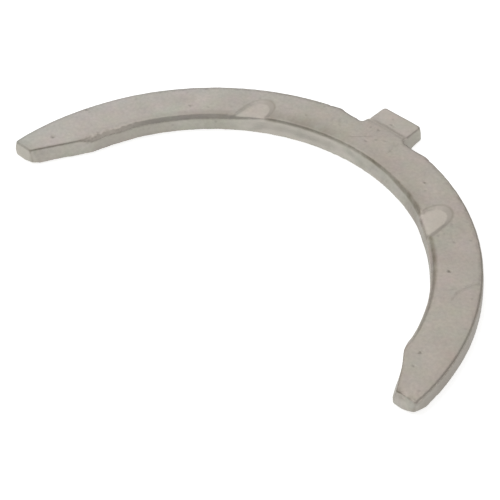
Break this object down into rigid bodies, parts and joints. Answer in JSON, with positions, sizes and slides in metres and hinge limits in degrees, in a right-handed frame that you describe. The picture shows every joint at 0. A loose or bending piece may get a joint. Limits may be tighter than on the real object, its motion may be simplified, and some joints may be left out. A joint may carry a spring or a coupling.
{
  "type": "thrust washer",
  "caption": "Half-moon thrust washer with a locating tab on its outer edge, oil pockets open to the bore and relieved ends; takes the end load of a crankshaft.",
  "frame": {"origin": "centre of the half-round bore, on the back face", "axes": "+X across the two ends, +Y towards the locating tab, +Z out of the bearing face"},
  "size_m": [0.069, 0.0377, 0.0023],
  "materials": {
    "bearing_metal": "warm grey satin, tin flashed, with fine marks"
  },
  "bodies": {
    "root": {"thrust_washer": "bearing_metal"}
  },
  "joints": []
}
